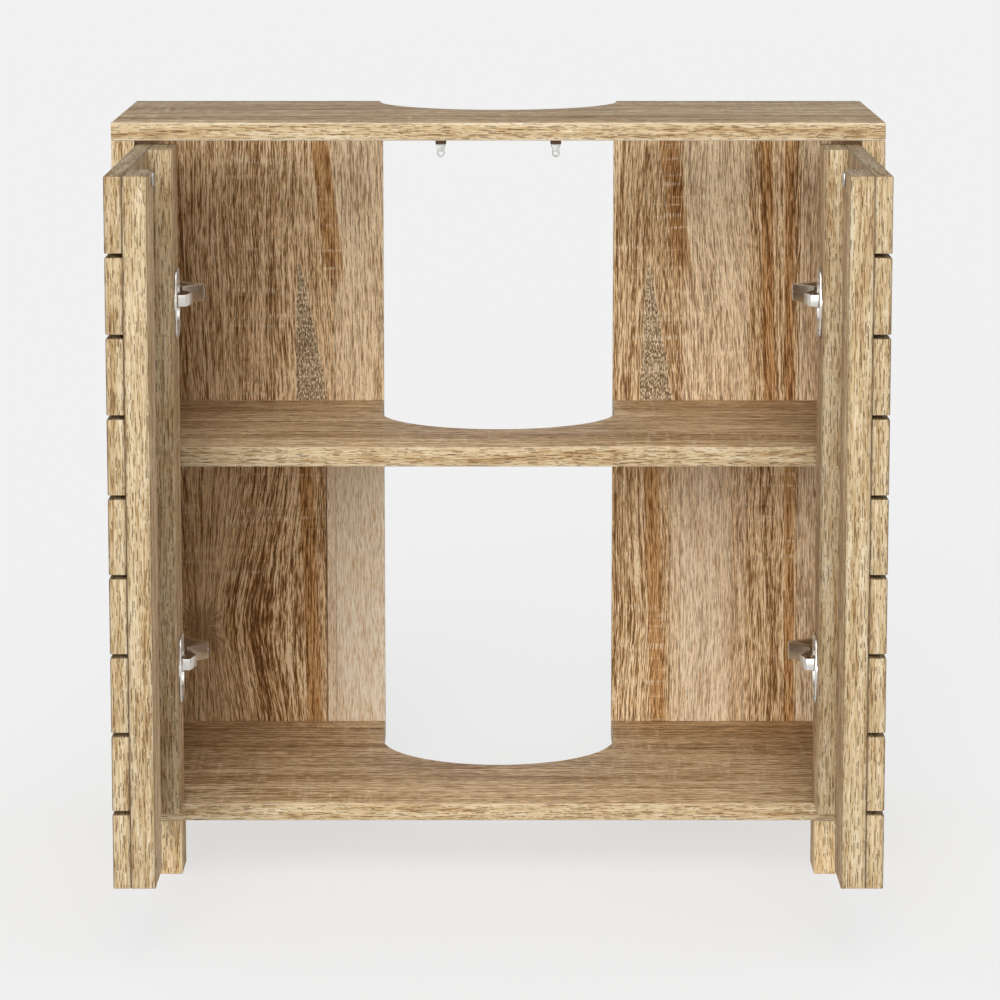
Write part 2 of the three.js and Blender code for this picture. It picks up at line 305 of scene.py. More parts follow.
class Figure(NamedTuple):
    """What is printed on a board's face. Arches stand round a core with a centre and a half width.
    Up to their tip they lean and taper. A grey spike fills the core from its foot to the tip."""
    centre: float
    core: float
    taper: float
    lean: float = 0.0
    tip: float = 0.0
    spike_foot: float = None
    knots: tuple = ()
    planks: tuple = ()
    stripes: tuple = ()


# The arches lie so far to the side that the grain runs straight.
STRAIGHT = Figure(centre=0.35, core=20 * MM, taper=0.02)


# ---- Printed oak: layers ----

def stops(colours, level):
    return [(position, srgb(*colour, level)) for position, colour in colours]


def pattern(t, along, across, layer, pitch, detail=2.0, roughness=0.5):
    """Noise with its own pitch along the grain and across it."""
    place = t.vector(t.times(along, pitch[0]), t.times(across, pitch[1]), layer)
    return t.noise(place, detail, roughness)


def flecks(t, along, across, layer, seed, length, width, detail=2.0):
    """Short wavy strokes along the grain, of a mean length and width."""
    bend = pattern(t, along, across, seed, BEND_PITCH, detail=0.0)
    bent = t.scaled(bend, STROKE_BEND, across)
    place = t.vector(t.scaled(along, 1 / length, seed), t.times(bent, 1 / width), layer)
    return t.noise(place, detail, STROKE_ROUGHNESS)


def dashes(t, along, across, layer, seed, length, width, share):
    """Crisp dark pores along the grain: one dash in a share of the cells of a given length and width."""
    place = t.vector(t.scaled(along, 1 / length, seed), t.times(across, 1 / width), layer)
    cells = t.add("TexVoronoi", {"Vector": place, "Scale": 1.0, "Randomness": 1.0})
    offset = t.add("VectorMath", {0: place, 1: cells.outputs["Position"]}, operation="SUBTRACT")
    apart = t.add("SeparateXYZ", {0: offset.outputs[0]})
    chance = t.add("SeparateColor", {0: cells.outputs["Color"]})
    half_length = t.scaled(chance.outputs[0], DASH_EXTRA_LENGTH, DASH_HALF_LENGTH)
    beyond = t.minus(t.size(apart.outputs[0]), half_length)
    not_past_end = t.below(beyond, *DASH_END_EDGES)
    thin = t.below(t.size(apart.outputs[1]), *DASH_SIDE_EDGES)
    present = t.math("LESS_THAN", chance.outputs[1], share)
    return t.times(not_past_end, thin, present)


def weighted(t, tone, layers):
    """The tone, moved by each layer as far as its weight says."""
    for layer, weight in layers:
        tone = t.scaled(t.minus(layer, 0.5), weight, tone)
    return tone


class Face:
    """The figure printed on a board's face, layer by layer."""

    def __init__(self, t, along, across, seed, level, figure):
        self.t, self.along, self.across = t, along, across
        self.seed, self.level, self.figure = seed, level, figure
        self.moved = self.wander()
        self.above_tip = t.minus(along, figure.tip)
        side = t.minus(t.scaled(self.above_tip, figure.lean, self.moved), figure.centre)
        layer = t.scaled(side, LAYER_PITCH, seed)
        self.leaf = t.scaled(self.above_tip, LEAF_LEAN, t.times(self.moved, LAYER_PITCH))
        self.index = self.arches(side)
        self.bands = pattern(t, along, self.index, layer, BAND_PITCH, detail=3.0, roughness=0.55)
        self.streaks = pattern(t, along, self.index, layer, STREAK_PITCH, roughness=0.6)
        self.strokes = flecks(t, along, self.moved, self.leaf, seed, length=12 * MM, width=0.6 * MM)

    def shade(self, colour):
        return srgb(*colour, self.level)

    def from_knot(self, knot, flatness):
        """The distance from a knot, and its two parts, along the grain and across it."""
        t = self.t
        away_along = t.times(t.minus(self.along, knot.along), flatness)
        away_across = t.minus(self.across, knot.across)
        squares = t.scaled(away_along, away_along, t.times(away_across, away_across))
        return t.math("SQRT", squares), away_along, away_across

    def wander(self):
        """The place across the grain, as seen by grain that drifts and parts round the knots."""
        t = self.t
        drift = pattern(t, self.along, self.across, self.seed, DRIFT_PITCH)
        moved = t.plus(self.across, t.scaled(drift, DRIFT, -DRIFT / 2))
        for knot in self.figure.knots:
            distance, _, away = self.from_knot(knot, KNOT_BEND_FLATNESS)
            near = t.math("EXPONENT", t.times(distance, -KNOT_BEND_FADE / knot.radius))
            moved = t.scaled(near, t.times(away, KNOT_BEND), moved)
        return moved

    def arches(self, side):
        """The place across the grain, counted outwards from the arches' core."""
        t = self.t
        arch = t.math("SQRT", t.scaled(side, side, self.figure.core ** 2))
        narrowing = t.times(t.math("EXPONENT", t.times(arch, ARCH_FADE)), self.figure.taper)
        return t.scaled(self.above_tip, narrowing, arch)

    def late_wood(self):
        """The dark end of each growth ring."""
        t = self.t
        shake = t.scaled(self.streaks, SHAKE_BY_STREAKS, t.times(self.bands, SHAKE_BY_BANDS))
        ring = t.math("FRACT", t.scaled(self.index, RING_PITCH, shake))
        return t.math("POWER", ring, LATE_WOOD_POWER)

    def planks(self):
        """How pale the planks make each place, and how dark their seams make it."""
        t = self.t
        pale = 0.0
        seam = 0.0
        wavering = t.scaled(self.strokes, SEAM_WAVER, self.across)
        for plank in self.figure.planks:
            strength = t.times(t.math("LESS_THAN", self.along, plank.top), plank.paleness)
            past_start = t.above(self.across, plank.start - PLANK_EDGE, plank.start + PLANK_EDGE)
            before_end = t.below(self.across, plank.end - PLANK_EDGE, plank.end + PLANK_EDGE)
            pale = t.scaled(t.times(past_start, before_end), strength, pale)
            beside = t.below(t.size(t.minus(wavering, plank.start)), *SEAM_EDGES)
            seam = t.scaled(beside, strength, seam)
        return pale, seam

    def warmth(self):
        """Where the print turns a warm brown: faintly in the dark bands, and in the stripes."""
        t = self.t
        warm = t.times(t.below(self.bands, *DARK_BAND_EDGES), WARM_COVER)
        for stripe in self.figure.stripes:
            from_head = t.minus(self.along, stripe.head)
            off = t.scaled(from_head, stripe.lean, t.minus(self.across, stripe.middle))
            inside = t.below(t.size(off), stripe.half - STRIPE_EDGE, stripe.half + STRIPE_EDGE)
            from_foot = t.above(self.along, stripe.foot - STRIPE_FOOT_FADE, stripe.foot + STRIPE_FOOT_FADE)
            to_head = t.below(self.along, stripe.head - STRIPE_HEAD_FADE, stripe.head + STRIPE_HEAD_FADE)
            warm = t.math("MAXIMUM", warm, t.times(inside, from_foot, to_head))
        return warm

    def spike(self, colour):
        """The colour with a speckled grey spike over the arches' core."""
        t = self.t
        foot, tip, core = self.figure.spike_foot, self.figure.tip, self.figure.core
        frayed = t.scaled(t.minus(self.strokes, 0.5), SPIKE_FRAY, self.index)
        inside = t.below(frayed, core - SPIKE_EDGE, core + SPIKE_EDGE)
        from_foot = t.above(self.along, foot - SPIKE_FOOT_FADE, foot + SPIKE_FOOT_FADE)
        to_tip = t.math("LESS_THAN", self.along, tip)
        specks = t.above(pattern(t, self.along, self.moved, self.seed, SPECK_PITCH), *SPECK_EDGES)
        speckled = t.mix(specks, self.shade(SPIKE_DARK), self.shade(SPIKE_GREY))
        return t.mix(t.times(inside, from_foot, to_tip, SPIKE_COVER), colour, speckled)

    def saw_marks(self):
        """Pale marks across the grain, in patches and broken by the strokes."""
        t = self.t
        marks = t.above(pattern(t, self.along, self.across, self.seed, SAW_PITCH, detail=1.0), *SAW_EDGES)
        patches = pattern(t, self.along, self.across, self.seed + 3.0, SAW_PATCH_PITCH, detail=1.0)
        return t.times(marks, t.above(patches, *SAW_PATCH_EDGES), t.above(self.strokes, *SAW_BREAK_EDGES))

    def knot_core(self, knot):
        """The core of a knot, with a ragged edge."""
        t = self.t
        radius = knot.radius
        distance, away_along, away_across = self.from_knot(knot, KNOT_CORE_FLATNESS)
        angle = t.math("ARCTAN2", away_across, away_along)
        rays = pattern(t, angle, distance, self.seed, RAY_PITCH, detail=3.0)
        beyond = t.minus(distance, t.scaled(rays, RAY_REACH * radius, RAY_START * radius))
        return t.below(beyond, *[edge * radius for edge in KNOT_CORE_EDGES])

    def paint(self):
        """The colour and the height of the face."""
        t = self.t
        lines = flecks(t, self.along, self.moved, self.leaf, self.seed + 3.0, 70 * MM, 1.1 * MM, detail=1.0)
        layers = ((self.bands, BAND_WEIGHT), (self.streaks, STREAK_WEIGHT), (self.strokes, STROKE_WEIGHT),
                  (lines, LINE_WEIGHT))
        tone = weighted(t, FACE_TONE, layers)
        tone = t.scaled(self.late_wood(), LATE_WOOD_WEIGHT, tone)
        pale, seam = self.planks()
        tone = t.scaled(pale, PLANK_WEIGHT, tone)
        colour = t.ramp(tone, stops(FACE_STOPS, self.level))

        between_strokes = t.above(self.strokes, *STROKE_EDGES_ON_PLANK)
        faded = t.mix(between_strokes, self.shade(PLANK_DARK), self.shade(PLANK_PALE))
        plank = t.math("MULTIPLY", pale, PLANK_COVER, clamp=True)
        colour = t.mix(plank, colour, faded)
        colour = t.mix(self.warmth(), colour, t.tinted(colour, WARM_TINT))
        if self.figure.spike_foot:
            colour = self.spike(colour)
        colour = t.mix(t.times(self.saw_marks(), SAW_COVER), colour, self.shade(SAW_PALE))
        colour = t.mix(t.math("MULTIPLY", seam, SEAM_COVER, clamp=True), colour, self.shade(PORE))

        pores = dashes(t, self.along, self.moved, self.leaf, self.seed + 5.0, 9 * MM, 2 * MM, share=0.6)
        pores = t.times(pores, t.scaled(plank, PORES_LOST_ON_PLANK, 1.0))
        colour = t.mix(t.times(pores, FACE_PORE_COVER), colour, self.shade(PORE))
        for knot in self.figure.knots:
            colour = t.mix(t.times(self.knot_core(knot), KNOT_COVER), colour, self.shade(KNOT_DARK))
        return colour, t.scaled(pores, PORE_DEPTH, self.strokes)


def board_edge(t, along, across, layer, seed, level):
    """The colour and the height of a pale edge strip, with fine strokes and many dark pores."""
    bands = pattern(t, along, across, layer, EDGE_BAND_PITCH)
    strokes = flecks(t, along, across, layer, seed, length=16 * MM, width=1.1 * MM)
    tone = weighted(t, EDGE_TONE, ((bands, EDGE_BAND_WEIGHT), (strokes, EDGE_STROKE_WEIGHT)))
    colour = t.ramp(tone, stops(EDGE_STOPS, level))
    short = dashes(t, along, across, layer, seed, 9.5 * MM, 1.8 * MM, share=0.7)
    long = dashes(t, along, across, layer, seed + 31.0, 15 * MM, 2.9 * MM, share=0.5)
    pores = t.math("MAXIMUM", short, long)
    colour = t.mix(t.times(pores, EDGE_PORE_COVER), colour, srgb(*PORE))
    return colour, t.scaled(pores, PORE_DEPTH, strokes)


def oak(name, grain, seed, face_level=1.0, edge_level=0.86, end_level=0.86, solid=False, figure=STRAIGHT,
        painted_arris_colour=ARRIS_HIGHLIGHT, arris_share=0.45):
    """Printed oak. grain names the axes along the grain, across it and through the board. A solid piece
    looks like an edge strip on every side."""
    t = Nodes(name)
    coordinates = t.add("TexCoord")
    place = t.add("SeparateXYZ", {0: coordinates.outputs["Object"]})
    facing = t.add("SeparateXYZ", {0: coordinates.outputs["Normal"]})
    along, across, through = [place.outputs["xyz".index(axis)] for axis in grain]
    to_along, _, to_through = [t.size(facing.outputs["xyz".index(axis)]) for axis in grain]
    is_face = t.above(to_through, *FACE_FROM)
    is_end = t.math("GREATER_THAN", to_along, END_FROM)

    # An end strip runs across the grain, and on a solid piece the faces are strips too.
    strip_along = t.scaled(is_end, t.minus(across, along), along)
    strip_across = through
    strip_layer = t.times(across, EDGE_LAYER_PITCH)
    if solid:
        strip_across = t.scaled(is_face, t.minus(across, through), through)
        strip_layer = seed
    colour, height = board_edge(t, strip_along, strip_across, strip_layer, seed, edge_level)
    end_share = end_level / edge_level
    colour = t.mix(is_end, colour, t.tinted(colour, (end_share, end_share, end_share, 1.0)))
    if not solid:
        face_colour, face_height = Face(t, along, across, seed, face_level, figure).paint()
        colour = t.mix(is_face, colour, face_colour)
        height = t.mix(is_face, height, face_height)
    # Painted light on the rounded edges: a pale painted highlight by default, and painted shade where the
    # door pieces give a dark colour.
    arris = t.times(t.above(to_through, *PAINTED_ARRIS_FROM), t.below(to_through, *PAINTED_ARRIS_TO))
    colour = t.mix(t.times(arris, arris_share), colour, srgb(*painted_arris_colour, edge_level))
    return t.finish(Base_Color=colour, Roughness=t.scaled(height, OAK_GLOSS_OF_HEIGHT, OAK_ROUGHNESS),
                    Normal=t.bump(height, OAK_RELIEF, OAK_RELIEF_SHARE), Specular_IOR_Level=OAK_SPECULAR)


# ---- Metal and plastic ----

# Pitches are cycles per metre, for metal on each axis. It is drawn along z.
DRAWN_PITCH = (5200.0, 5200.0, 60.0)
CLOUD_PITCH = (160.0, 160.0, 160.0)
PLATING_UNEVENNESS = 0.16
PLATING_RELIEF = 0.03 * MM
PLATING_RELIEF_SHARE = 0.35
SKIN_PITCH = 2600.0
PATCH_PITCH = 240.0
MOULDING_UNEVENNESS = 0.14
MOULDING_RELIEF = 0.04 * MM
MOULDING_RELIEF_SHARE = 0.5


def metal(name, colour, roughness):
    """Plated metal with fine drawing lines and faint cloudiness."""
    t = Nodes(name)
    place = t.add("SeparateXYZ", {0: t.add("TexCoord").outputs["Object"]})
    lines = t.noise(t.vector(*[t.times(place.outputs[i], DRAWN_PITCH[i]) for i in range(3)]))
    clouds = t.noise(t.vector(*[t.times(place.outputs[i], CLOUD_PITCH[i]) for i in range(3)]), 3.0)
    uneven = t.scaled(clouds, PLATING_UNEVENNESS, roughness - PLATING_UNEVENNESS / 2)
    worn = t.ramp(clouds, ((0.30, srgb(*colour, 0.88)), (0.70, srgb(*colour))))
    relief = t.bump(lines, PLATING_RELIEF, PLATING_RELIEF_SHARE)
    return t.finish(Base_Color=worn, Metallic=1.0, Roughness=uneven, Normal=relief)


def moulded(name, colour, roughness, **extra):
    """Moulded plastic with a fine spark-eroded skin."""
    t = Nodes(name)
    place = t.add("TexCoord").outputs["Object"]
    skin = t.add("TexNoise", {"Vector": place, "Scale": SKIN_PITCH, "Detail": 2.0}).outputs["Fac"]
    patches = t.add("TexNoise", {"Vector": place, "Scale": PATCH_PITCH, "Detail": 3.0}).outputs["Fac"]
    tint = t.ramp(patches, ((0.3, srgb(*colour, 0.86)), (0.7, srgb(*colour, 1.08))))
    gloss = t.scaled(patches, MOULDING_UNEVENNESS, roughness - MOULDING_UNEVENNESS / 2)
    relief = t.bump(skin, MOULDING_RELIEF, MOULDING_RELIEF_SHARE)
    return t.finish(Base_Color=tint, Roughness=gloss, Normal=relief, **extra)


# ---- Modifiers on the frame's own pieces ----

SHARP_EDGE = math.radians(30)
BEVELLED_EDGE = math.radians(40)
FLAT_ENOUGH = math.radians(0.5)
WELD_DISTANCE = 0.004 * MM
BEVEL_SEGMENTS = 2


def smoothing_group():
    """Smooth shading broken at sharp edges."""
    group = bpy.data.node_groups.new("smooth_by_angle", "GeometryNodeTree")
    group.interface.new_socket("Geometry", in_out="INPUT", socket_type="NodeSocketGeometry")
    group.interface.new_socket("Geometry", in_out="OUTPUT", socket_type="NodeSocketGeometry")
    start = group.nodes.new("NodeGroupInput")
    end = group.nodes.new("NodeGroupOutput")
    angle = group.nodes.new("GeometryNodeInputMeshEdgeAngle")
    compare = group.nodes.new("FunctionNodeCompare")
    compare.operation = "GREATER_THAN"
    compare.inputs[1].default_value = SHARP_EDGE
    sharp = group.nodes.new("GeometryNodeSetShadeSmooth")
    sharp.domain = "EDGE"
    sharp.inputs["Shade Smooth"].default_value = False
    smooth = group.nodes.new("GeometryNodeSetShadeSmooth")
    smooth.domain = "FACE"
    link = group.links.new
    link(angle.outputs["Unsigned Angle"], compare.inputs[0])
    link(compare.outputs[0], sharp.inputs["Selection"])
    link(start.outputs[0], sharp.inputs["Geometry"])
    link(sharp.outputs["Geometry"], smooth.inputs["Geometry"])
    link(smooth.outputs["Geometry"], end.inputs[0])
    return group


SMOOTH = smoothing_group()


def soften(piece, width):
    """Joins the piece's split corners, rounds its sharp edges a little and shades it smooth."""
    weld = piece.modifiers.new("weld", "WELD")
    weld.merge_threshold = WELD_DISTANCE
    flat = piece.modifiers.new("flat", "DECIMATE")
    flat.decimate_type = "DISSOLVE"
    flat.angle_limit = FLAT_ENOUGH
    bevel = piece.modifiers.new("bevel", "BEVEL")
    bevel.width = width
    bevel.segments = BEVEL_SEGMENTS
    bevel.limit_method = "ANGLE"
    bevel.angle_limit = BEVELLED_EDGE
    smooth = piece.modifiers.new("smooth", "NODES")
    smooth.node_group = SMOOTH


def paint(piece, material):
    slots = piece.material_slots
    if not slots:
        piece.data.materials.append(material)
    for slot in slots:
        slot.link = "OBJECT"
        slot.material = material


# ---- The boards ----

# Axes along the grain, across it and through each kind of board
LYING = "xyz"
STANDING_SIDE = "zyx"
STANDING_BACK = "zxy"
BOARD_BEVEL = 0.8 * MM

# The back panels' figures, in metres from the floor and from the cabinet's middle
SPIKE_FOOT = 0.32
SPIKE_TIP = 0.455
SHELF_SEAM = 0.33
OVER_TOP = 0.61
UNDER_BOTTOM = 0.02


def dress_board(name, grain, seed, **finish):
    paint(nodes[name], oak("oak_" + name, grain, seed, **finish))
    soften(nodes[name], BOARD_BEVEL)


def back_figure(centre, planks, stripes=(), knots=()):
    """A grey spike with a brown stripe slanting up from its tip and one down from its foot, and the rest."""
    above_spike = Stripe(centre + 8 * MM, lean=0.12, half=7.5 * MM, foot=0.443, head=OVER_TOP)
    below_spike = Stripe(centre, lean=0.03, half=6 * MM, foot=UNDER_BOTTOM, head=SPIKE_FOOT)
    return Figure(centre, core=2 * MM, taper=0.12, lean=0.05, tip=SPIKE_TIP, spike_foot=SPIKE_FOOT,
                  knots=knots, planks=planks, stripes=(above_spike, below_spike, *stripes))


BACK_FIGURES = {
    "left": back_figure(
        centre=-0.166,
        planks=(Plank(start=-0.147, end=-0.09, top=SHELF_SEAM, paleness=0.30),
                Plank(start=-0.139, end=-0.09, top=OVER_TOP, paleness=0.10)),
        knots=(Knot(along=0.141, across=-0.256, radius=16 * MM),),
    ),
    "right": back_figure(
        centre=0.130,
        planks=(Plank(start=0.157, end=0.213, top=OVER_TOP, paleness=0.10),
                Plank(start=0.148, end=0.20, top=SHELF_SEAM, paleness=0.12),
                Plank(start=0.257, end=0.29, top=OVER_TOP, paleness=0.12)),
        stripes=(Stripe(middle=0.226, lean=0.02, half=5 * MM, foot=0.30, head=OVER_TOP),
                 Stripe(middle=0.246, lean=0.01, half=4 * MM, foot=UNDER_BOTTOM, head=OVER_TOP)),
    ),
}

# The door pieces' rounded edges are painted dark: painted shade in the grooves between slats and battens.
DOOR_LOOK = {"edge_level": 0.81, "end_level": 0.52, "painted_arris_colour": GROOVE_SHADE, "arris_share": 0.85}
# The feet's edge level is raised as painted light on feet that stand in shade under the cabinet.
FOOT_LOOK = {"solid": True, "edge_level": 1.22, "end_level": 1.0}


def dress_side(hand, sign):
    """One half's side panel, back panel and feet."""
    dress_board(f"{hand}_side_panel", STANDING_SIDE, 31.3 + sign)
    # The back panels are printed brighter than the top as painted light in the shaded inside of the cabinet.
    dress_board(f"{hand}_back_panel", STANDING_BACK, 43.1 + 5 * sign, face_level=1.56 - 0.02 * sign,
                figure=BACK_FIGURES[hand])
    for place in ("front", "rear"):
        dress_board(f"{place}_{hand}_foot", STANDING_BACK, 57.0 + 3 * sign, **FOOT_LOOK)


def dress_door(hand, sign):
    """One door's slats and battens."""
    for number in SLATS:
        seed = 71.0 + 2 * sign + 0.4 * number
        dress_board(f"{hand}_door_slat_{number}", STANDING_SIDE, seed, **DOOR_LOOK)
    for place, shift in (("hinge", 0.0), ("free", 8.0)):
        seed = 83.0 + sign + shift
        # The battens' faces are printed brighter as painted light on their shaded inner sides.
        dress_board(f"{hand}_door_{place}_batten", STANDING_SIDE, seed, face_level=1.35, **DOOR_LOOK)


# The same oak is printed at different levels: the top darker as painted shade against its sheen, the bottom
# and the shelf brighter as painted light in the shaded inside.
# The top's front edge gets a stronger painted highlight.
dress_board("top_panel", LYING, 3.1, face_level=0.86, edge_level=0.88, arris_share=0.95)
dress_board("bottom_panel", LYING, 11.7, face_level=1.42)
dress_board("shelf", LYING, 23.9, face_level=1.44)
for hand, sign in HANDS.items():
    dress_side(hand, sign)
    dress_door(hand, sign)

# ---- Hinges, pins, catches and strikers ----

NICKEL = metal("nickel", (230, 227, 221), 0.30)
ZINC = metal("zinc", (176, 176, 174), 0.30)
BROWN = moulded("brown_moulding", (104, 76, 50), 0.46)
CLEAR = moulded("clear_moulding", (232, 234, 230), 0.16, Transmission_Weight=0.85, IOR=1.46)

HINGE_BEVEL = 0.25 * MM
STEEL_BEVEL = 0.2 * MM
CATCH_BEVEL = 0.4 * MM
BUMPER_BEVEL = 0.3 * MM


def dress_fittings(hand):
    """One half's hinges, shelf pins, striker plate and catch base."""
    for place in ENDS:
        for piece in ("cup", "link", "arm", "mounting_plate"):
            node = nodes[f"{hand}_{place}_hinge_{piece}"]
            paint(node, NICKEL)
            soften(node, HINGE_BEVEL)
    for name in (f"front_{hand}_shelf_pin", f"rear_{hand}_shelf_pin", f"{hand}_striker_plate"):
        paint(nodes[name], ZINC)
        soften(nodes[name], STEEL_BEVEL)
    paint(nodes[f"{hand}_catch_base"], BROWN)
    soften(nodes[f"{hand}_catch_base"], CATCH_BEVEL)


for hand in HANDS:
    dress_fittings(hand)


def new_piece(name, mesh, material, body):
    """A piece of the scene's own, made of a bmesh that is used up, in place and riding on a body."""
    data = bpy.data.meshes.new(name)
    mesh.to_mesh(data)
    mesh.free()
    piece = bpy.data.objects.new(name, data)
    bpy.context.scene.collection.objects.link(piece)
    piece.data.materials.append(material)
    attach(piece, body)
    return piece


# ---- Screws ----

RINGS_OF_HEAD = 14
STEPS_ROUND_HEAD = 64
DOME_POWER = 2.6
DOME_RISE = 0.26
# The cross recess, in radii of the head: half the width of a bar, its reach, and the slopes of its walls
RECESS_BAR = 0.17
RECESS_REACH = 0.62
RECESS_SIDE_SLOPE = 0.35 * RECESS_BAR
RECESS_END_SLOPE = 0.3 * RECESS_BAR
RECESS_DEPTH = 0.9


def clamped(value):
    return min(max(value, 0), 1)


def recess(x, y):
    """1 in the cross recess of a screw head and 0 outside it, for a place in radii of the head."""
    near, far = sorted((abs(x), abs(y)))
    in_bar = clamped((RECESS_BAR - near) / RECESS_SIDE_SLOPE + 1)
    in_reach = clamped((RECESS_REACH - far) / RECESS_END_SLOPE)
    return in_bar * in_reach


def screw_head(name, centre, facing, radius, body, turn, rise=DOME_RISE):
    """A domed screw head with a cross recess. Its rim lies round the centre, and it is rise radii high."""
    mesh = bmesh.new()
    rows = []
    for i in range(RINGS_OF_HEAD + 1):
        share = i / RINGS_OF_HEAD
        dome = math.sqrt(max(1 - share ** DOME_POWER, 0))
        row = []
        for j in range(STEPS_ROUND_HEAD if i else 1):
            angle = 2 * math.pi * j / STEPS_ROUND_HEAD
            x = share * math.cos(angle)
            y = share * math.sin(angle)
            z = rise * (dome - RECESS_DEPTH * recess(x, y))
            row.append(mesh.verts.new((radius * x, radius * y, radius * z)))
        rows.append(row)
    for j in range(STEPS_ROUND_HEAD):
        following = (j + 1) % STEPS_ROUND_HEAD
        mesh.faces.new((rows[0][0], rows[1][j], rows[1][following]))
        for inner, outer in zip(rows[1:], rows[2:]):
            mesh.faces.new((inner[j], outer[j], outer[following], inner[following]))
    mesh.faces.new(reversed(rows[-1]))
    for face in mesh.faces:
        face.smooth = True
    direction = Vector(facing).to_track_quat("Z", "Y").to_matrix().to_4x4()
    mesh.transform(Matrix.Translation(centre) @ direction @ Matrix.Rotation(turn, 4, "Z"))
    return new_piece(name, mesh, ZINC, body)


CUP_SCREW = 3.4 * MM
CUP_SCREW_SPREAD = 22.5 * MM
CUP_SCREW_OFFSET = 9.5 * MM
PLATE_SCREW = 3.6 * MM
PLATE_SCREW_SPREAD = 16 * MM
PLATE_SCREW_INSET = 9 * MM
FIXING_SCREW = 3.3 * MM
FIXING_SCREW_INSET = 10 * MM
ADJUSTING_SCREW = 2.5 * MM
ADJUSTING_SCREW_INSET = 21.5 * MM
STRIKER_SCREW = 2.6 * MM
STRIKER_SCREW_RISE = 0.07
CATCH_SCREW = 2.4 * MM
CATCH_SCREW_INSET = 4.5 * MM
# How far the screwed faces stand off the side panel
PLATE_WING_STANDS = 2.1 * MM
ARM_TAIL_STANDS = 11.2 * MM


def inner_face(low, high, sign):
    """The x of a box's face towards the cabinet's middle."""
    return low.x if sign > 0 else high.x


def hinge_screws(hinge, hand, sign):
    """The screws of a hinge's cup, of its mounting plate and of its arm."""
    inward = (-sign, 0, 0)
    wall = inner_face(*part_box(f"{hand}_side_panel"), sign)
    low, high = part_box(f"{hinge}_cup")
    flange = inner_face(low, high, sign)
    middle = (low + high) / 2
    for end, side in ENDS.items():
        name = f"{hinge}_cup_{end}_screw"
        centre = (flange, middle.y - CUP_SCREW_OFFSET, middle.z + side * CUP_SCREW_SPREAD)
        screw_head(name, centre, inward, CUP_SCREW, f"{hand}_door", turn=0.5 + side)

    low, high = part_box(f"{hinge}_mounting_plate")
    wing = wall - sign * PLATE_WING_STANDS
    height = (low.z + high.z) / 2
    for end, side in ENDS.items():
        name = f"{hinge}_plate_{end}_screw"
        centre = (wing, low.y + PLATE_SCREW_INSET, height + side * PLATE_SCREW_SPREAD)
        screw_head(name, centre, inward, PLATE_SCREW, "root", turn=0.9 * side)

    low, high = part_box(f"{hinge}_arm")
    height = (low.z + high.z) / 2
    centre = (wall - sign * ARM_TAIL_STANDS, high.y - FIXING_SCREW_INSET, height)
    screw_head(f"{hinge}_fixing_screw", centre, inward, FIXING_SCREW, "root", turn=0.3)
    centre = (inner_face(low, high, sign), low.y + ADJUSTING_SCREW_INSET, height)
    screw_head(f"{hinge}_adjusting_screw", centre, inward, ADJUSTING_SCREW, "root", turn=0.8)


def catch_screws(hand, sign):
    """The screws of a striker plate and of the catch over it."""
    low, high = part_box(f"{hand}_striker_plate")
    centre = (inner_face(low, high, sign), (low.y + high.y) / 2, (low.z + high.z) / 2)
    screw_head(f"{hand}_striker_screw", centre, (-sign, 0, 0), STRIKER_SCREW, f"{hand}_door",
               turn=0.4, rise=STRIKER_SCREW_RISE)
    low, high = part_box(f"{hand}_catch_base")
    centre = ((low.x + high.x) / 2, high.y - CATCH_SCREW_INSET, low.z)
    screw_head(f"{hand}_catch_screw", centre, (0, 0, -1), CATCH_SCREW, "root", turn=0.6)


for hand, sign in HANDS.items():
    for place in ENDS:
        hinge_screws(f"{hand}_{place}_hinge", hand, sign)
    catch_screws(hand, sign)

# ---- The catches' bumpers ----

RING_RADIUS = 3.1 * MM
RING_HOLE = 1.7 * MM
RING_STEPS = 40
STEM_ANGLE = math.radians(50)


def ring_bumper(hand):
    """The clear tongue of a catch: a ring that the door closes on, drawn out at its top into a stem."""
    low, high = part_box(f"{hand}_catch_bumper")
    middle = (low.x + high.x) / 2
    half = (high.x - low.x) / 2
    eye = low.z + RING_RADIUS
    mesh = bmesh.new()
    loops = []
    for depth in (low.y, high.y):
        outline, hole = [], []
        for i in range(RING_STEPS):
            angle = math.pi / 2 + 2 * math.pi * i / RING_STEPS
            cosine, sine = math.cos(angle), math.sin(angle)
            from_top = math.atan2(cosine, sine)
            x, z = RING_RADIUS * cosine, eye + RING_RADIUS * sine
            if abs(from_top) < STEM_ANGLE:
                x, z = half * from_top / STEM_ANGLE, high.z
            outline.append(mesh.verts.new((middle + x, depth, z)))
            hole.append(mesh.verts.new((middle + RING_HOLE * cosine, depth, eye + RING_HOLE * sine)))
        loops.append((outline, hole))
    (front_out, front_in), (back_out, back_in) = loops
    for i in range(RING_STEPS):
        j = (i + 1) % RING_STEPS
        mesh.faces.new((front_out[i], front_out[j], front_in[j], front_in[i]))
        mesh.faces.new((back_in[i], back_in[j], back_out[j], back_out[i]))
        mesh.faces.new((front_out[j], front_out[i], back_out[i], back_out[j]))
        mesh.faces.new((front_in[i], front_in[j], back_in[j], back_in[i]))
    bmesh.ops.recalc_face_normals(mesh, faces=mesh.faces)
    piece = new_piece(f"{hand}_ring_bumper", mesh, CLEAR, "root")
    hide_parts(f"{hand}_catch_bumper")
    soften(piece, BUMPER_BEVEL)


for hand in HANDS:
    ring_bumper(hand)

# ---- Floor, light and camera ----

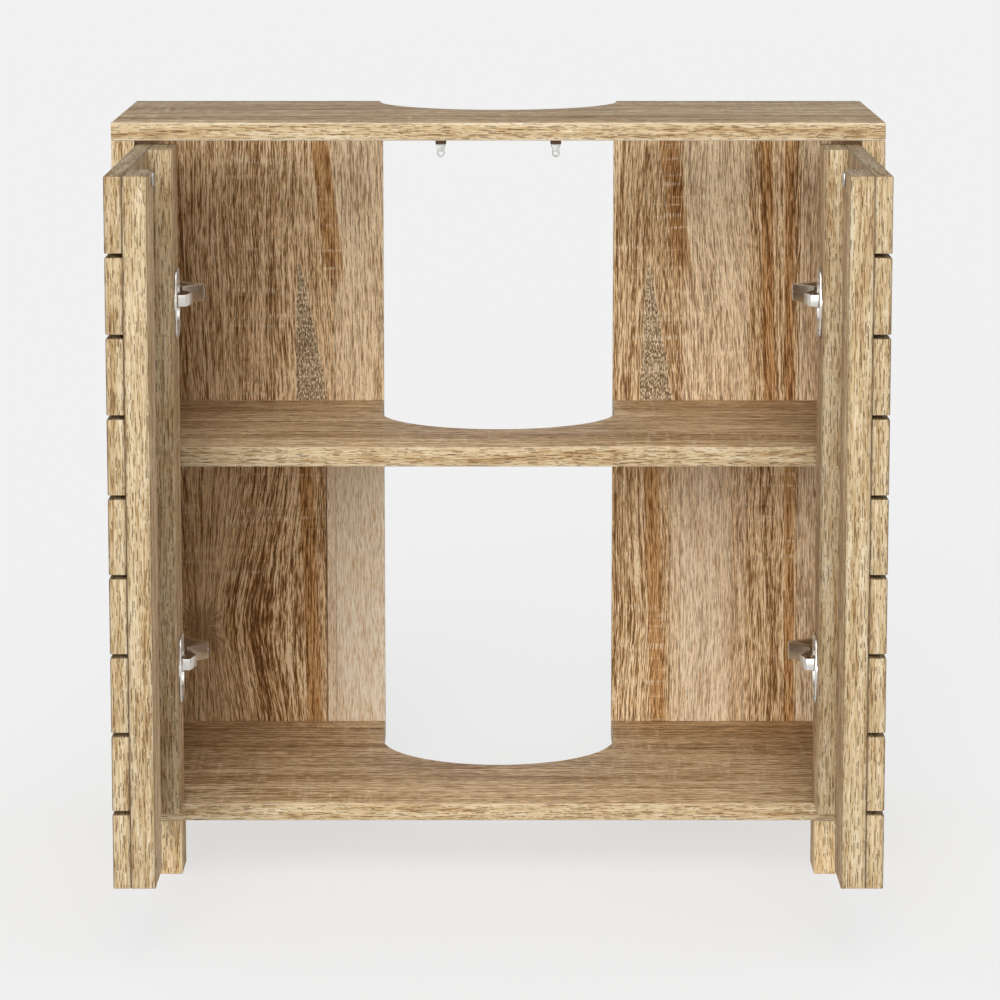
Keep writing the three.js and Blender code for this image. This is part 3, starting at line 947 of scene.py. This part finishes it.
FLOOR_REACH = 80.0
FLOOR_GREY = (0.863, 0.863, 0.863, 1.0)
FLOOR_GLOW = 0.70
FLOOR_STRENGTH = 1.095
STUDIO_WHITE = (1.0, 1.0, 1.0, 1.0)
STUDIO_LIGHT = 0.46
STUDIO_SEEN = 0.88

SENSOR_WIDTH = 36.0
FOCAL_LENGTH = 148.7
LENS_SHIFT = (0.0017, -0.05)
CAMERA_PLACE = (0.0, -3.2104, 0.8477)
CAMERA_DIP = 8.99


def seen_share(tree):
    """1 for rays from the camera, off gloss and through glass, and 0 for those that light the boards."""
    ray = tree.nodes.new("ShaderNodeLightPath")
    seen = ray.outputs["Is Camera Ray"]
    for kind in ("Is Glossy Ray", "Is Transmission Ray"):
        either = tree.nodes.new("ShaderNodeMath")
        either.operation = "MAXIMUM"
        tree.links.new(seen, either.inputs[0])
        tree.links.new(ray.outputs[kind], either.inputs[1])
        seen = either.outputs[0]
    return seen


def floor():
    """A plain pale floor. To the camera and in reflections it mostly glows, so its shadow is light."""
    mesh = bpy.data.meshes.new("floor")
    corners = [(x * FLOOR_REACH, y * FLOOR_REACH, 0) for x, y in ((-1, -1), (1, -1), (1, 1), (-1, 1))]
    mesh.from_pydata(corners, [], [(0, 1, 2, 3)])
    plane = bpy.data.objects.new("floor", mesh)
    bpy.context.scene.collection.objects.link(plane)
    t = Nodes("floor")
    lit = t.add("BsdfDiffuse", {"Color": FLOOR_GREY})
    plain = t.add("Emission", {"Color": FLOOR_GREY, "Strength": FLOOR_STRENGTH})
    both = t.add("MixShader", {0: t.times(seen_share(t.tree), FLOOR_GLOW)})
    output = t.add("OutputMaterial")
    t.tree.links.new(lit.outputs[0], both.inputs[1])
    t.tree.links.new(plain.outputs[0], both.inputs[2])
    t.tree.links.new(both.outputs[0], output.inputs["Surface"])
    plane.data.materials.append(t.material)


def studio():
    """The pale room round the cabinet, brighter to the camera, gloss and glass than as light on boards."""
    world = bpy.data.worlds.new("studio")
    bpy.context.scene.world = world
    world.use_nodes = True
    tree = world.node_tree
    background = tree.nodes["Background"]
    background.inputs["Color"].default_value = STUDIO_WHITE
    level = tree.nodes.new("ShaderNodeMapRange")
    level.inputs["To Min"].default_value = STUDIO_LIGHT
    level.inputs["To Max"].default_value = STUDIO_SEEN
    tree.links.new(seen_share(tree), level.inputs["Value"])
    tree.links.new(level.outputs["Result"], background.inputs["Strength"])


def sun(name, azimuth, elevation, strength, spread):
    """A soft far lamp. Azimuth 0 shines from the front, 90 from the right, as seen from the front."""
    lamp = bpy.data.lights.new(name, "SUN")
    lamp.energy = strength
    lamp.angle = math.radians(spread)
    thing = bpy.data.objects.new(name, lamp)
    bpy.context.scene.collection.objects.link(thing)
    turn, rise = math.radians(azimuth), math.radians(elevation)
    towards = Vector((math.sin(turn) * math.cos(rise), -math.cos(turn) * math.cos(rise), math.sin(rise)))
    thing.rotation_mode = "QUATERNION"
    thing.rotation_quaternion = towards.to_track_quat("Z", "Y")


def photo_camera():
    """A long lens from a little above, as in the photo."""
    lens = bpy.data.cameras.new("camera")
    lens.sensor_width = SENSOR_WIDTH
    lens.lens = FOCAL_LENGTH
    lens.shift_x, lens.shift_y = LENS_SHIFT
    camera = bpy.data.objects.new("camera", lens)
    bpy.context.scene.collection.objects.link(camera)
    camera.location = CAMERA_PLACE
    camera.rotation_euler = (math.radians(90 - CAMERA_DIP), 0.0, 0.0)
    bpy.context.scene.camera = camera
    bpy.context.scene.view_settings.view_transform = "Standard"


floor()
studio()
sun("key_light", azimuth=-10, elevation=13, strength=1.25, spread=26)
sun("fill_light", azimuth=-2, elevation=38, strength=0.95, spread=30)
sun("top_light", azimuth=20, elevation=70, strength=0.35, spread=40)
photo_camera()
